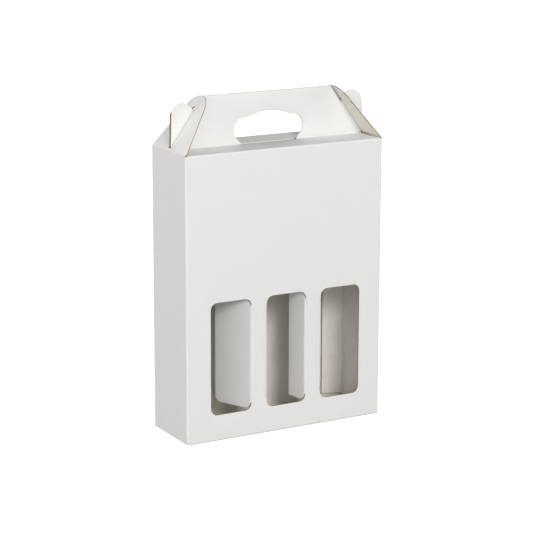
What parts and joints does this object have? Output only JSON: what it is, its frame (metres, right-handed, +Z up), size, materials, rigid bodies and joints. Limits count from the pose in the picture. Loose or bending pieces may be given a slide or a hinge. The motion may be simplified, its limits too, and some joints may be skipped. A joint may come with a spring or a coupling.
{
  "type": "wine gift box",
  "caption": "White corrugated wine carton with a carry handle locked by slotted end flaps, and rounded front windows whose die-cut doors fold in between the bottles.",
  "frame": {"origin": "middle of the base, on the surface the carton stands on", "axes": "+X to the right across the width, +Y from the windowed front to the back, +Z up"},
  "size_m": [0.25, 0.083, 0.3837],
  "materials": {
    "white_board": "white clay-coated micro-flute corrugated board, satin matt, brown fluting at the cut edges"
  },
  "bodies": {
    "carton": {"front_panel": "white_board", "back_panel": "white_board", "left_side_panel": "white_board", "right_side_panel": "white_board", "glue_flap": "white_board", "front_bottom_flap": "white_board", "back_bottom_flap": "white_board", "left_bottom_flap": "white_board", "right_bottom_flap": "white_board"},
    "left_end_flap": {"left_closure_flap": "white_board"},
    "right_end_flap": {"right_closure_flap": "white_board"},
    "front_top": {"front_shoulder": "white_board"},
    "back_top": {"back_shoulder": "white_board"},
    "front_grip": {"front_handle": "white_board"},
    "back_grip": {"back_handle": "white_board"},
    "left_door": {"left_window_door": "white_board"},
    "center_left_door": {"center_left_window_door": "white_board"},
    "center_right_door": {"center_right_window_door": "white_board"},
    "right_door": {"right_window_door": "white_board"}
  },
  "joints": [
    {"name": "left_flap_crease", "type": "hinge", "parent": "carton", "child": "left_end_flap", "pos_m": [-0.125, 0, 0.3265], "axis": [0, -1, 0], "range_deg": [0, 210]},
    {"name": "right_flap_crease", "type": "hinge", "parent": "carton", "child": "right_end_flap", "pos_m": [0.125, 0, 0.3265], "axis": [0, 1, 0], "range_deg": [0, 210]},
    {"name": "front_shoulder_crease", "type": "hinge", "parent": "carton", "child": "front_top", "pos_m": [0, -0.0415, 0.3265], "axis": [1, 0, 0], "range_deg": [0, 90]},
    {"name": "back_shoulder_crease", "type": "hinge", "parent": "carton", "child": "back_top", "pos_m": [0, 0.0415, 0.3265], "axis": [-1, 0, 0], "range_deg": [0, 90]},
    {"name": "front_handle_crease", "type": "hinge", "parent": "front_top", "child": "front_grip", "pos_m": [0, -0.00175, 0.3265], "axis": [-1, 0, 0], "range_deg": [0, 90]},
    {"name": "back_handle_crease", "type": "hinge", "parent": "back_top", "child": "back_grip", "pos_m": [0, 0.00175, 0.3265], "axis": [1, 0, 0], "range_deg": [0, 90]},
    {"name": "left_door_crease", "type": "hinge", "parent": "carton", "child": "left_door", "pos_m": [-0.045, -0.0399, 0.0952], "axis": [0, 0, -1], "range_deg": [-66, 24]},
    {"name": "center_left_door_crease", "type": "hinge", "parent": "carton", "child": "center_left_door", "pos_m": [-0.025, -0.0399, 0.0952], "axis": [0, 0, 1], "range_deg": [-78, 32]},
    {"name": "center_right_door_crease", "type": "hinge", "parent": "carton", "child": "center_right_door", "pos_m": [0.025, -0.0399, 0.0952], "axis": [0, 0, -1], "range_deg": [-78, 32]},
    {"name": "right_door_crease", "type": "hinge", "parent": "carton", "child": "right_door", "pos_m": [0.045, -0.0399, 0.0952], "axis": [0, 0, 1], "range_deg": [-66, 24]}
  ],
  "couplings": [
    {"joint": "right_flap_crease", "follows": "left_flap_crease", "ratio": 1},
    {"joint": "front_shoulder_crease", "follows": "left_flap_crease", "ratio": 0.42857},
    {"joint": "back_shoulder_crease", "follows": "left_flap_crease", "ratio": 0.42857},
    {"joint": "front_handle_crease", "follows": "left_flap_crease", "ratio": 0.42857},
    {"joint": "back_handle_crease", "follows": "left_flap_crease", "ratio": 0.42857}
  ]
}
